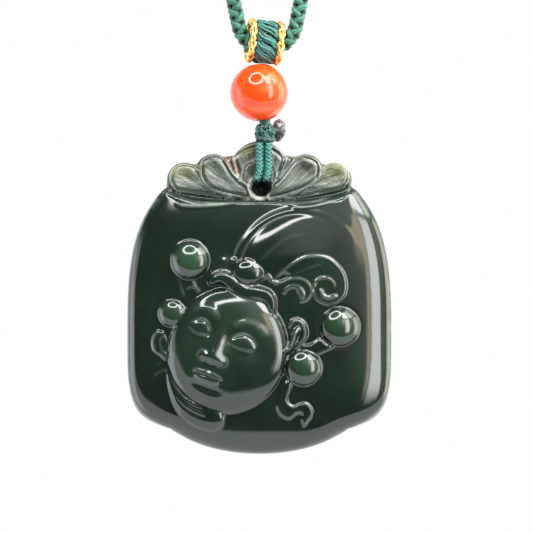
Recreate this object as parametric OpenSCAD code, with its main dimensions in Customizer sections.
// Jade pendant on a braided cord: a carved bag of jade, an agate bead, a wound bail and a necklace loop.
// Millimetres, +Z up. The front of the jade faces -Y. The origin is under the sleeve at the loop's top,
// where the necklace hangs.

/* [Jade] */
// Width of the carved bag
jade_w = 45; // [40:0.5:52]
// Height of the bag, from the hole's centre to its lowest point
bag_h = 45.6; // [40:0.2:52]
// Height of the gathered crown above the hole's centre
crown_h = 7.7; // [7:0.1:9]
// Depth of the bag's front, from the middle plane to the ground of the carving
front_d = 6; // [4.5:0.1:8]
// Depth of the bag's plain back, from the middle plane
back_d = 5; // [3.5:0.1:7]
// Half the thickness of the crown beside the hole
crown_d = 2.2; // [1.8:0.1:2.8]
// Half the thickness of the jade at its edge
rim_d = 0.6; // [0.4:0.1:1]
// Height of the head above the ground of the carving
relief_h = 2.6; // [1.5:0.1:4]
// Diameter of the hole
hole_d = 3.2; // [3:0.1:4]

/* [Thin cord and knot] */
// Diameter of one strand of the thin cord
strand_d = 1.4; // [1:0.1:1.5]
// Diameter of the button knot
knot_d = 3.7; // [3.2:0.1:5]
// Height of the button knot
knot_h = 3; // [2.6:0.1:5]
// Diameter of the burnt end
burnt_d = 2.3; // [1.5:0.1:2.6]
// Length of the burnt end
burnt_l = 3.2; // [2.6:0.1:3.6]
// Height of the knot's underside above the crown
knot_rest = 0.45; // [0.3:0.05:0.8]

/* [Bead] */
// Diameter of the agate bead
bead_d = 10; // [8:0.5:12]
// Diameter of the bead's bore
bead_bore_d = 2.2; // [2:0.1:2.8]
// Lean of the bead on its thread
bead_lean = 9; // [0:1:12]

/* [Bail] */
// Width of the wound band between its gold edges
band_w = 3.7; // [3:0.1:5]
// Thickness of the wound band
band_t = 0.9; // [0.7:0.1:1.3]
// Clear height inside the bail
bail_h = 5.4; // [5:0.1:8]
// Diameter of the gold thread
gold_d = 1; // [0.7:0.1:1.3]

/* [Necklace] */
// Diameter of the braided cord
cord_d = 2.8; // [2:0.1:3.2]
// Radius of the loop where it goes round the neck
neck_r = 50; // [40:1:70]
// Radius of the bend that carries the bail
bight_r = 5; // [4.6:0.1:6]
// Lean of the loop's two legs
leg_lean = 11.4; // [10:0.1:14]
// Diameter of the sleeve at the nape
sleeve_d = 4.4; // [4:0.1:6]
// Length of the sleeve along the cord
sleeve_l = 14; // [8:1:24]

/* [Fit] */
// Gap between pieces that touch on the real thing
gap = 0.1; // [0.05:0.01:0.15]
// Gap between the jade and the strands, kept while it swings
swing_gap = 0.3; // [0.2:0.05:0.5]

/* [Hidden] */
$fn = 48;

// Colours
JADE_GREEN = [0.13, 0.2, 0.16];
AGATE_ORANGE = [0.95, 0.33, 0.12];
TEAL = [0.05, 0.45, 0.38];
BRAID_GREEN = [0.24, 0.53, 0.42];
GOLD = [0.9, 0.75, 0.3];
CHARCOAL = [0.22, 0.23, 0.24];

// Places along the loop, from the nape down
neck_z = sleeve_d / 2 - neck_r;
bight_z = neck_z - (neck_r - bight_r) / sin(leg_lean);
braid_low_z = bight_z - bight_r;
bail_in_low_z = braid_low_z - cord_d / 2 - gap;
bail_low_z = bail_in_low_z - band_t;
bead_z = bail_low_z - gap / 2 - bead_d / 2;
knot_top_z = bead_z - bead_d / 2 + gap;
knot_low_z = knot_top_z - knot_h;
hole_z = knot_low_z - knot_rest - crown_h;

// Places across, where the pieces hang a little off the loop's middle
bail_x = -0.6;
bead_x = -1.4;
hole_x = -1;
bag_x = hole_x - 0.35;
strand_x = hole_x + 0.45;
knot_x = bead_x + (bead_z - (knot_top_z + knot_low_z) / 2) * tan(bead_lean);

// Turn and lean of the bail on the braid
bail_turn = 10;
bail_lean = 6;

// Small helpers for the carved surface
function clamp(t) = max(0, min(1, t));
function mix(a, b, share) = a + (b - a) * share;
function ease(from, to, t) = let(s = clamp((t - from) / (to - from))) s * s * (3 - 2 * s);
function blend_max(a, b, soft) = max(a, b) + pow(max(0, soft - abs(a - b)), 2) / (4 * soft);

// The bag's outline is a rounded square with a lobe at its foot, under a web with five round petals.
// Across is a share of the bag's width, up a share of its height below the hole or of the crown above it.
mid_z = -0.548 * bag_h;
TOP_SQUARENESS = 3;
FOOT_SQUARENESS = 4.7;
top_reach = 0.629 * bag_h;
foot_reach = 0.3685 * bag_h;
// Columns of an ellipse: middle across, middle up, half width, half height
AT_X = 0;
AT_Z = 1;
HALF_X = 2;
HALF_Z = 3;
LOBE = [0, -0.82 * bag_h, 0.379 * jade_w, 0.18 * bag_h];
WEB = [0, -0.077 * crown_h, 0.349 * jade_w, 0.795 * crown_h];
// Columns of a petal: across as a share of the bag's width, up and radius as shares of the crown
PETALS = [
    [0, 0.362, 0.638],
    [-0.283, 0.136, 0.394],
    [0.283, 0.136, 0.394],
    [-0.174, 0.317, 0.403],
    [0.174, 0.317, 0.403]
];
PETAL_R = 2;
function petal_middle(p) = [p[AT_X] * jade_w, p[AT_Z] * crown_h];
function petal_ellipse(p) = concat(petal_middle(p), [p[PETAL_R] * crown_h, p[PETAL_R] * crown_h]);
OUTLINE = concat([LOBE, WEB], [for (p = PETALS) petal_ellipse(p)]);

// How far a ray from the bag's middle goes before it leaves an ellipse, or the rounded square
function ray_ellipse(e, ray) = let(
    start = [-e[AT_X] / e[HALF_X], (mid_z - e[AT_Z]) / e[HALF_Z]],
    way = [ray[0] / e[HALF_X], ray[1] / e[HALF_Z]],
    along = start * way,
    root = along * along - (way * way) * (start * start - 1)
) root < 0 ? 0 : (sqrt(root) - along) / (way * way);
function squareness(up) = up > 0 ? TOP_SQUARENESS : FOOT_SQUARENESS;
function reach(up) = up > 0 ? top_reach : foot_reach;
function square_share(x, up, n, height) = let(
    across = pow(abs(2 * x / jade_w), n)
) pow(across + pow(abs(up / height), n), 1 / n);
function ray_bag(ray) = 1 / square_share(ray[0], ray[1], squareness(ray[1]), reach(ray[1]));
function ray_outline(ray) = max(ray_bag(ray), max([for (e = OUTLINE) ray_ellipse(e, ray)]));

// The crease between the crown and the bag lies in the middle a little below the hole and rises to its ends.
// Below it the bag swells over a tight lip first, and then over a long slope.
CREASE_DROP = 0.3;
CREASE_RISE = 0.26;
CREASE_REACH = 0.35 * jade_w;
function crease_z(x) = crown_h * (CREASE_RISE * pow(min(1, abs(x) / CREASE_REACH), 4) - CREASE_DROP);
LIP = 0.033 * bag_h;
SLOPE = 0.285 * bag_h;
LIP_SHARE = 0.72;
function quarter_round(t) = sqrt(1 - pow(1 - clamp(t), 2));
function shoulder(x, z) = let(
    below = crease_z(x) - z
) mix(quarter_round(below / SLOPE), quarter_round(below / LIP), LIP_SHARE);
// Inside its edge the bag is as full as a cushion, flattest in the middle
PILLOW = 2.6;
LOW_PILLOW = 3;
NEAR_EDGE = 0.985;
EDGE_BAND = 0.86;
function pillow(x, z, share) = let(
    low = z < mid_z,
    soft = square_share(x, z - mid_z, low ? LOW_PILLOW : TOP_SQUARENESS, low ? bag_h + mid_z : top_reach),
    s = min(1, mix(min(soft, NEAR_EDGE), share, ease(EDGE_BAND, 1, share)))
) pow(1 - pow(s, PILLOW), 1 / PILLOW);

// A petal is a scoop that widens from the hole to its round end, with a raised rim
PETAL_FOOT = 0.2;
function petal_share(p, x, z) = let(
    end = petal_middle(p),
    t = clamp((x * end[0] + z * end[1]) / (end * end)),
    r = mix(PETAL_FOOT, p[PETAL_R], t) * crown_h
) norm([x, z] - t * end) / r;
PETAL_RIM = 0.45;
PETAL_HOLLOW = 1.25;
HOLLOW_SHARE = 0.84;
function scoop(d) = PETAL_RIM - PETAL_HOLLOW * pow(max(0, 1 - pow(d / HOLLOW_SHARE, 2)), 0.8);
// The middle petal is half as deep as the others. Each petal covers the ones before it up to its edge.
MIDDLE_DEPTH = 0.5;
PETAL_EDGE = [0.93, 1.06];
function petals(x, z, i = 0, h = 0) = i == len(PETALS) ? h : let(
    d = petal_share(PETALS[i], x, z),
    h_next = mix(h, scoop(d) * (i == 0 ? MIDDLE_DEPTH : 1), 1 - ease(PETAL_EDGE[0], PETAL_EDGE[1], d))
) petals(x, z, i + 1, h_next);
SCOOP = 0.3;
CROWN_TAPER = 0.45;
function crown_plain(z) = crown_d * mix(1, CROWN_TAPER, clamp(z / crown_h));
function crown(x, z) = crown_plain(z) + crown_d * SCOOP * petals(x, z);
// How far the petals' rims stand out at a height, which the strands keep clear of
function crown_reach(z) = crown_plain(z) + crown_d * SCOOP * PETAL_RIM;

// Raised forms of the carving. Across and half width are shares of the bag's width, down and half height
// shares of its height, tilt is in degrees and rise is a share of relief_h. A full form has a flat top.
ACROSS = 0;
DOWN = 1;
HALF_W = 2;
HALF_H = 3;
TILT = 4;
RISE = 5;
FULL = 6;
FORMS = [
    [-0.119, 0.612, 0.222, 0.237, -20, 1.0, 1.6], // head
    [-0.261, 0.276, 0.073, 0.072, 0, 0.85, 1.0], // pompom above the head
    [-0.329, 0.473, 0.050, 0.049, 0, 0.55, 1.0], // pompom at the head's left
    [-0.047, 0.320, 0.054, 0.053, 0, 1.20, 1.0], // jewel on the hat
    [0.166, 0.675, 0.066, 0.065, 0, 0.90, 1.0], // ball of the earring
    [0.303, 0.524, 0.073, 0.072, 0, 0.85, 1.0], // pompom at the head's right
    [0.139, 0.556, 0.036, 0.058, -20, 0.75, 1.4], // ear
    [-0.165, 0.790, 0.085, 0.045, -48, 0.60, 1.2] // beard
];
ROUNDNESS = 0.65;
function form(f, x, z) = let(
    dx = x - f[ACROSS] * jade_w,
    dz = z + f[DOWN] * bag_h,
    u = (dx * cos(f[TILT]) + dz * sin(f[TILT])) / (f[HALF_W] * jade_w),
    v = (dz * cos(f[TILT]) - dx * sin(f[TILT])) / (f[HALF_H] * bag_h),
    q = min(1, u * u + v * v)
) f[RISE] * pow(1 - pow(q, f[FULL]), ROUNDNESS);

// The hat is a dome that ends above the wing curls and dies out to the right
HAT = [0.154, 0.331, 0.264];
HAT_R = 2;
HAT_RISE = 0.7;
HAT_FULL = 5;
HAT_FOOT = [-0.42, -0.32];
HAT_FOOT_LEAN = 0.04;
HAT_END = [0.42, 0.12];
function hat(x, z) = let(
    d = norm([x - HAT[ACROSS] * jade_w, z + HAT[DOWN] * bag_h]) / (HAT[HAT_R] * jade_w),
    above = ease(HAT_FOOT[0], HAT_FOOT[1], z / bag_h + HAT_FOOT_LEAN * x / jade_w),
    left = ease(HAT_END[0], HAT_END[1], x / jade_w)
) HAT_RISE * pow(1 - pow(min(1, d), HAT_FULL), ROUNDNESS) * above * left;

// Thin raised lines: wing curls are spirals, and stalks and ribbons are short runs of points.
// Columns of a curl: across, down, outer and inner radius as shares of the width, start angle and sweep.
CURLS = [[0.272, 0.372, 0.063, 0.022, 190, -560], [0.146, 0.385, 0.046, 0.018, 150, -500]];
CURL_R = 2;
CURL_IN = 3;
CURL_START = 4;
CURL_SWEEP = 5;
CURL_STEPS = 18;
function curl_points(c) = [for (i = [0:CURL_STEPS]) let(
    a = c[CURL_START] + c[CURL_SWEEP] * i / CURL_STEPS,
    r = mix(c[CURL_R], c[CURL_IN], i / CURL_STEPS) * jade_w
) [c[ACROSS] * jade_w + r * cos(a), -c[DOWN] * bag_h + r * sin(a)]];
// Points across and down, as shares of the bag's width and height.
// In turn: two strands of the upper stalk, two of the right one, the ribbon, its fold and the hat's brim.
LINES = [
    [[-0.295, 0.345], [-0.285, 0.410]],
    [[-0.247, 0.350], [-0.232, 0.395]],
    [[0.166, 0.574], [0.240, 0.560]],
    [[0.215, 0.632], [0.275, 0.600]],
    [[0.119, 0.726], [0.104, 0.795], [0.170, 0.807], [0.195, 0.830], [0.170, 0.890]],
    [[0.065, 0.810], [0.092, 0.856], [0.146, 0.840]],
    [[-0.200, 0.395], [-0.112, 0.345], [0.010, 0.385], [0.050, 0.415]]
];
function line_points(line) = [for (p = line) [p[ACROSS] * jade_w, -p[DOWN] * bag_h]];
ROUTES = concat([for (c = CURLS) curl_points(c)], [for (line = LINES) line_points(line)]);
function to_segment(p, a, b) = let(
    way = b - a,
    t = clamp((p - a) * way / (way * way))
) norm(p - a - t * way);
function to_route(p, route) = min([for (i = [1:len(route) - 1]) to_segment(p, route[i - 1], route[i])]);
line_w = 0.022 * jade_w;
LINE_RISE = 0.35;
function lines(p) = LINE_RISE * (1 - pow(min(1, min([for (r = ROUTES) to_route(p, r)]) / line_w), 2));
FORM_FILLET = 0.06;
function carving(x, z) = let(
    raised = blend_max(hat(x, z), 0, FORM_FILLET) + lines([x, z])
) blend_max(raised, max([for (f = FORMS) form(f, x, z)]), FORM_FILLET);

// Depth of the front and the back at a point that lies a share of the way from the middle to the edge
EDGE = 1.1;
CREASE_FILLET = 0.3;
CARVED_FROM = 0.3;
function edge_round(inset) = quarter_round(inset / EDGE);
function front_y(x, z, share, inset) = let(
    full = pillow(x, z, share) * shoulder(x, z),
    bag = rim_d + (front_d - rim_d) * full + relief_h * carving(x, z) * ease(0, CARVED_FROM, full),
    top = rim_d + (crown(x, z) - rim_d) * edge_round(inset)
) -blend_max(bag, top, CREASE_FILLET);
function back_y(x, z, share, inset) = let(
    bag = rim_d + (back_d - rim_d) * pillow(x, z, share) * shoulder(x, z),
    top = rim_d + (crown_plain(z) - rim_d) * edge_round(inset)
) blend_max(bag, top, CREASE_FILLET);

// The carved front is a square grid drawn out to the outline, so its cells stay nearly even
GRID = 64;
function square_angle(u, v) = u == 0 && v == 0 ? 0
    : abs(u) >= abs(v) ? (u > 0 ? 0 : 180) + 45 * v / u
    : (v > 0 ? 90 : 270) - 45 * u / v;
GRID_SPREAD = 0.1;
function ring_share(t) = t + GRID_SPREAD * sin(180 * t);
function carved_point(u, v, share, is_front) = let(
    a = square_angle(u, v),
    ray = [cos(a), sin(a)],
    r = ray_outline(ray),
    x = share * r * ray[0],
    z = mid_z + share * r * ray[1],
    inset = (1 - share) * r
) [x, is_front ? front_y(x, z, share, inset) : back_y(x, z, share, inset), z];
function front_point(i, j) = let(
    u = 2 * i / GRID - 1,
    v = 2 * j / GRID - 1
) carved_point(u, v, ring_share(max(abs(u), abs(v))), true);

// The back is a few rings of points that thin out towards the middle.
// Columns of a ring: how far out it lies and how many points each side of the square has.
BACK_RINGS = [
    [1, GRID], [0.965, GRID], [0.92, GRID / 2], [0.86, GRID / 2], [0.8, GRID / 2], [0.74, GRID / 2],
    [0.67, GRID / 4], [0.55, GRID / 4], [0.38, GRID / 8], [0.2, GRID / 8]
];
RING_SHARE = 0;
RING_SIDE = 1;
function side_point(k, n) = let(
    side = floor(k / n),
    f = 2 * (k - side * n) / n - 1
) side == 0 ? [1, f] : side == 1 ? [-f, 1] : side == 2 ? [-1, -f] : [f, -1];
function ring_points(ring) = [for (k = [0:4 * ring[RING_SIDE] - 1]) let(
    s = side_point(k, ring[RING_SIDE])
) carved_point(s[0], s[1], ring[RING_SHARE], false)];
FRONT_COUNT = (GRID + 1) * (GRID + 1);
function grid_index(i, j) = i * (GRID + 1) + j;
function edge_index(k) = let(
    s = side_point(k % (4 * GRID), GRID)
) grid_index((s[0] + 1) * GRID / 2, (s[1] + 1) * GRID / 2);
function ring_start(n) = n == 0 ? FRONT_COUNT : ring_start(n - 1) + 4 * BACK_RINGS[n - 1][RING_SIDE];
function ring_index(n, k) = ring_start(n) + k % (4 * BACK_RINGS[n][RING_SIDE]);
function band_faces(n) = let(
    outer = 4 * BACK_RINGS[n][RING_SIDE],
    inner = 4 * BACK_RINGS[n + 1][RING_SIDE]
) outer == inner
    ? [for (k = [0:inner - 1]) each [
        [ring_index(n, k), ring_index(n, k + 1), ring_index(n + 1, k)],
        [ring_index(n, k + 1), ring_index(n + 1, k + 1), ring_index(n + 1, k)]
    ]]
    : [for (k = [0:inner - 1]) each [
        [ring_index(n, 2 * k), ring_index(n, 2 * k + 1), ring_index(n + 1, k)],
        [ring_index(n, 2 * k + 1), ring_index(n, 2 * k + 2), ring_index(n + 1, k + 1)],
        [ring_index(n, 2 * k + 1), ring_index(n + 1, k + 1), ring_index(n + 1, k)]
    ]];
LAST_RING = len(BACK_RINGS) - 1;
BACK_MIDDLE = ring_start(LAST_RING) + 4 * BACK_RINGS[LAST_RING][RING_SIDE];
front_points = [for (i = [0:GRID]) for (j = [0:GRID]) front_point(i, j)];
// Each cell of the front is cut along the diagonal that bends least, so that raised edges stay clean
function front_drop(a, b) = abs(front_points[a][1] - front_points[b][1]);
function cell_faces(a, b, c, d) = front_drop(b, c) < front_drop(a, d)
    ? [[a, b, c], [c, b, d]]
    : [[a, b, d], [a, d, c]];
jade_points = concat(
    front_points,
    [for (ring = BACK_RINGS) each ring_points(ring)],
    [carved_point(1, 0, 0, false)]
);
jade_faces = concat(
    [for (i = [0:GRID - 1]) for (j = [0:GRID - 1]) each cell_faces(
        grid_index(i, j), grid_index(i, j + 1), grid_index(i + 1, j), grid_index(i + 1, j + 1)
    )],
    [for (k = [0:4 * GRID - 1]) each [
        [edge_index(k), edge_index(k + 1), ring_index(0, k)],
        [edge_index(k + 1), ring_index(0, k + 1), ring_index(0, k)]
    ]],
    [for (n = [0:LAST_RING - 1]) each band_faces(n)],
    [for (k = [0:4 * BACK_RINGS[LAST_RING][RING_SIDE] - 1])
        [ring_index(LAST_RING, k), ring_index(LAST_RING, k + 1), BACK_MIDDLE]]
);

// Sweeps a round section along a route of points; a closed route joins its end to its start
function unit(v) = v / norm(v);
function route_way(route, i, closed) = let(
    n = len(route),
    before = closed ? (i + n - 1) % n : max(0, i - 1),
    after = closed ? (i + 1) % n : min(n - 1, i + 1)
) unit(route[after] - route[before]);
function section(centre, way, across, r, sides) = let(
    up = unit(cross(way, across)),
    side = cross(up, way)
) [for (k = [0:sides - 1]) centre + r * (cos(360 * k / sides) * side + sin(360 * k / sides) * up)];
module sweep(route, r, sides, across, closed) {
    n = len(route);
    last = closed ? n - 1 : n - 2;
    points = [for (i = [0:n - 1]) each section(route[i], route_way(route, i, closed), across, r, sides)];
    walls = [for (i = [0:last]) for (k = [0:sides - 1]) let(
        next = (i + 1) % n,
        k2 = (k + 1) % sides
    ) each [
        [i * sides + k, i * sides + k2, next * sides + k],
        [i * sides + k2, next * sides + k2, next * sides + k]
    ]];
    caps = closed ? [] : [[for (k = [sides - 1:-1:0]) k], [for (k = [0:sides - 1]) (n - 1) * sides + k]];
    polyhedron(points, concat(walls, caps));
}

// The necklace loop: a wide arc round the neck, two straight legs and a small bend under the bail
CORD_SIDES = 8;
NECK_STEPS = 34;
LEG_STEPS = 12;
BIGHT_STEPS = 12;
function arc(middle_z, r, from, to, steps) = [for (i = [0:steps]) let(
    a = mix(from, to, i / steps)
) [r * cos(a), 0, middle_z + r * sin(a)]];
function run(from, to, steps) = [for (i = [1:steps - 1]) mix(from, to, i / steps)];
neck_arc = arc(neck_z, neck_r, -leg_lean, 180 + leg_lean, NECK_STEPS);
bight_arc = arc(bight_z, bight_r, 180 + leg_lean, 360 - leg_lean, BIGHT_STEPS);
left_leg = run(neck_arc[NECK_STEPS], bight_arc[0], LEG_STEPS);
right_leg = run(bight_arc[BIGHT_STEPS], neck_arc[0], LEG_STEPS);
cord_route = concat(neck_arc, left_leg, bight_arc, right_leg);

module necklace_cord() {
    color(BRAID_GREEN) sweep(cord_route, cord_d / 2, CORD_SIDES, [0, 1, 0], true);
}

// A plain wound sleeve over the joint of the braid, bent with the loop
module closing_wrap() {
    turn = sleeve_l / neck_r * 180 / PI;
    color(TEAL) translate([0, 0, neck_z]) rotate([90, 0, 0]) rotate([0, 0, 90 - turn / 2])
        rotate_extrude(angle = turn) translate([neck_r, 0]) difference() {
            circle(d = sleeve_d);
            circle(d = cord_d + 2 * gap);
        }
}

// The bail's clear space is a slot with round ends, deep enough for the braid with the bail turned on it
slot_r = cord_d / 2 / cos(bail_turn) + (band_w / 2 + gold_d) * tan(bail_turn) + gap;
slot_low = bail_in_low_z + slot_r;
slot_high = bail_in_low_z + bail_h - slot_r;
module slot_shape(grow) {
    for (z = [slot_low, slot_high]) translate([0, z - braid_low_z]) circle(r = slot_r + grow);
    translate([-slot_r - grow, slot_low - braid_low_z]) square([2 * (slot_r + grow), slot_high - slot_low]);
}
module on_braid() {
    translate([bail_x, 0, braid_low_z]) rotate([0, bail_lean, bail_turn]) children();
}
module bail_wrap() {
    color(TEAL) on_braid() rotate([90, 0, 90]) linear_extrude(band_w, center = true) difference() {
        slot_shape(band_t);
        slot_shape(0);
    }
}
// Gold thread round one edge of the band, on the middle of the band's thickness
GOLD_SIDES = 8;
GOLD_STEPS = 12;
function slot_bend(r, z, from) = [for (i = [0:GOLD_STEPS]) let(
    a = from + 180 * i / GOLD_STEPS
) [0, r * cos(a), z - braid_low_z + r * sin(a)]];
module gold_edge(side) {
    r = slot_r + band_t / 2;
    route = concat(slot_bend(r, slot_high, 0), slot_bend(r, slot_low, 180));
    color(GOLD) on_braid() translate([side * (band_w + gold_d + gap) / 2, 0, 0])
        sweep(route, gold_d / 2, GOLD_SIDES, [1, 0, 0], true);
}
module gold_edge_left() { gold_edge(-1); }
module gold_edge_right() { gold_edge(1); }

// The bead leans on its thread. A small dish at each end of the bore seats the knot.
module on_thread() {
    translate([bead_x, 0, bead_z]) rotate([0, -bead_lean, 0]) children();
}
DISH = 0.8;
module agate_bead() {
    color(AGATE_ORANGE) on_thread() difference() {
        sphere(d = bead_d);
        cylinder(d = bead_bore_d, h = bead_d + 2, center = true);
        for (end = [0, 180]) rotate([end, 0, 0]) translate([0, 0, bead_d / 2 - DISH])
            cylinder(r1 = bead_bore_d / 2, r2 = knot_d / 2 + gap, h = DISH);
    }
}
module bead_thread() {
    thread_d = bead_bore_d - 2 * gap;
    length = (bead_d - 4 * gap - thread_d * sin(bead_lean)) / cos(bead_lean);
    color(TEAL) on_thread() cylinder(d = thread_d, h = length, center = true);
}

// The button knot is a round barrel
KNOT_EDGE = 0.6;
module barrel(d, h, edge) {
    rotate_extrude() difference() {
        union() {
            translate([0, edge]) square([d / 2, h - 2 * edge]);
            square([d / 2 - edge, h]);
            for (z = [edge, h - edge]) translate([d / 2 - edge, z]) circle(r = edge);
        }
        translate([-d, -h]) square([d, 3 * h]);
    }
}
module button_knot() {
    color(TEAL) translate([knot_x, 0, knot_low_z]) barrel(knot_d, knot_h, KNOT_EDGE);
}
// The burnt end sits behind the knot's right flank
BURNT_ANGLE = 40;
BURNT_LIFT = 0.4;
burnt_out = (knot_d + burnt_d) / 2 + gap;
burnt_z = knot_low_z + BURNT_LIFT;
module burnt_end() {
    out = burnt_out * [cos(BURNT_ANGLE), sin(BURNT_ANGLE)];
    color(CHARCOAL) translate([knot_x + out[0], out[1], burnt_z]) barrel(burnt_d, burnt_l, burnt_d / 2 - gap);
}

// One strand goes down in front of the crown, through the hole and up behind it to the knot
STRAND_SIDES = 8;
BEND_STEPS = 6;
strand_r = strand_d / 2;
in_hole_x = strand_r + gap / 2;
in_hole_z = sqrt(pow(hole_d / 2 - strand_r - gap / 2, 2) - pow(in_hole_x, 2));
bend_r = strand_r + swing_gap;
// Columns of the strand's rise: height as a share of the crown, and the share of the crown's depth left there
RISE_H = 0;
RISE_DEPTH = 1;
RISE_ROWS = [[0.36, 1], [0.6, 1], [0.8, 1], [0.93, 0.86], [0.99, 0.6]];
KNOT_SHARE = 0.42;
STRAND_END = 0.15;
module strand(side) {
    bend_y = crown_reach(0);
    bend_z = in_hole_z + bend_r;
    x_up = strand_x - hole_x + side * in_hole_x;
    bend = [for (i = [0:BEND_STEPS]) let(a = 90 * i / BEND_STEPS)
        [side * in_hole_x, -bend_y - bend_r * sin(a), bend_z - bend_r * cos(a)]];
    rise = [for (row = RISE_ROWS) let(z = row[RISE_H] * crown_h)
        [x_up, -row[RISE_DEPTH] * crown_reach(z) - bend_r, z]];
    end_z = knot_low_z - gap - hole_z;
    end = [for (z = [end_z - STRAND_END, end_z]) [x_up, -KNOT_SHARE * knot_d, z]];
    front = concat(bend, rise, end);
    back = [for (i = [len(front) - 1:-1:0]) [front[i][0], -front[i][1], front[i][2]]];
    translate([hole_x, 0, hole_z]) sweep(concat(back, front), strand_r, STRAND_SIDES, [1, 0, 0], false);
}
module strand_left() { color(TEAL) strand(-1); }
module strand_right() { color(TEAL) strand(1); }

// The jade, with its hole drilled straight through the foot of the crown
module jade_pendant() {
    color(JADE_GREEN) difference() {
        translate([bag_x, 0, hole_z]) polyhedron(jade_points, jade_faces);
        translate([hole_x, 0, hole_z]) rotate([90, 0, 0])
            cylinder(d = hole_d, h = 4 * front_d, center = true);
    }
}

necklace_cord();
closing_wrap();
bail_wrap();
gold_edge_left();
gold_edge_right();
agate_bead();
bead_thread();
button_knot();
burnt_end();
strand_left();
strand_right();
jade_pendant();
